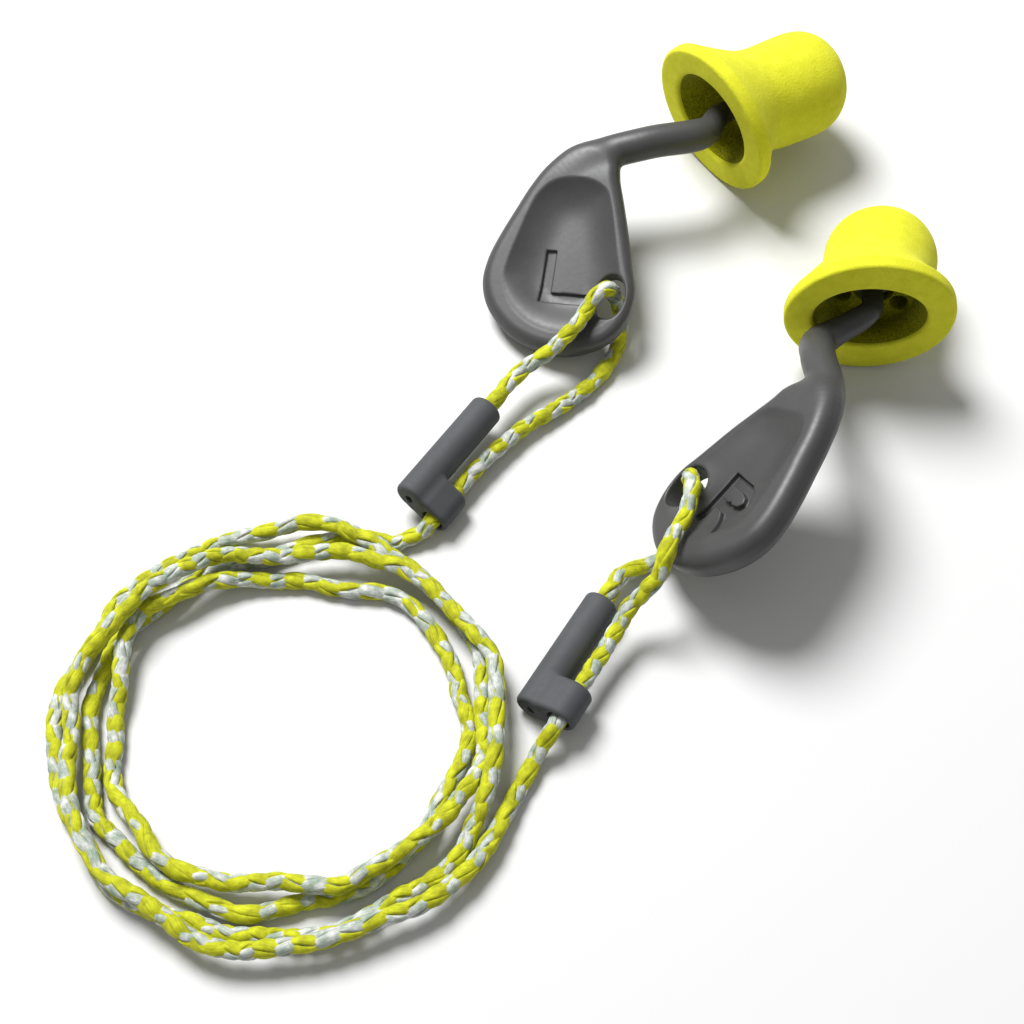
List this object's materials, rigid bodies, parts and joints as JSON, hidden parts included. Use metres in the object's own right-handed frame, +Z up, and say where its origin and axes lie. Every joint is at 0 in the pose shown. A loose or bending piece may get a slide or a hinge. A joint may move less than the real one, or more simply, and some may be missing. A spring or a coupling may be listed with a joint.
{
  "type": "corded foam ear plugs",
  "caption": "Bell-shaped foam ear plugs on moulded grips, joined by a braided cord with a sliding keeper at each end.",
  "frame": {"origin": "middle of the two plugs' footprint, on the surface they lie on", "axes": "+Z up from that surface, +Y from the coil towards the left plug, +X to the right seen from above"},
  "size_m": [0.093, 0.1072, 0.018],
  "materials": {
    "foam": "fine-celled matte foam",
    "sleeve": "plain moulded",
    "grip": "satin moulded",
    "slider": "satin moulded",
    "cord": "braided, two colours"
  },
  "bodies": {
    "root": {"cord_run_left": "cord", "cord_run_right": "cord", "cord_coil": "cord"},
    "left_grip": {"grip_left": "grip"},
    "left_pod": {"foam_pod_left": "foam", "pod_sleeve_left": "sleeve"},
    "left_slider": {"slider_left": "slider"},
    "right_grip": {"grip_right": "grip"},
    "right_pod": {"foam_pod_right": "foam", "pod_sleeve_right": "sleeve"},
    "right_slider": {"slider_right": "slider"}
  },
  "joints": [
    {"name": "left_grip_swing", "type": "hinge", "parent": "root", "child": "left_grip", "pos_m": [-0.01122, 0.00071, 0.00541], "axis": [-0.2688, -0.2986, 0.9158], "range_deg": [-12, 15]},
    {"name": "left_pod_pull", "type": "slide", "parent": "left_grip", "child": "left_pod", "axis": [0.829, 0.5592, 0], "range_m": [0, 0.01]},
    {"name": "left_slider_slide", "type": "slide", "parent": "root", "child": "left_slider", "axis": [0.5807, 0.8141, 0], "range_m": [0, 0.003]},
    {"name": "right_grip_swing", "type": "hinge", "parent": "root", "child": "right_grip", "pos_m": [-0.00359, -0.02366, 0.00493], "axis": [-0.671, 0.2103, 0.711], "range_deg": [-12, 4]},
    {"name": "right_pod_pull", "type": "slide", "parent": "right_grip", "child": "right_pod", "axis": [0.172, 0.9752, -0.1392], "range_m": [0, 0.01]},
    {"name": "right_slider_slide", "type": "slide", "parent": "root", "child": "right_slider", "axis": [0.5314, 0.8471, 0], "range_m": [0, 0.003]}
  ]
}
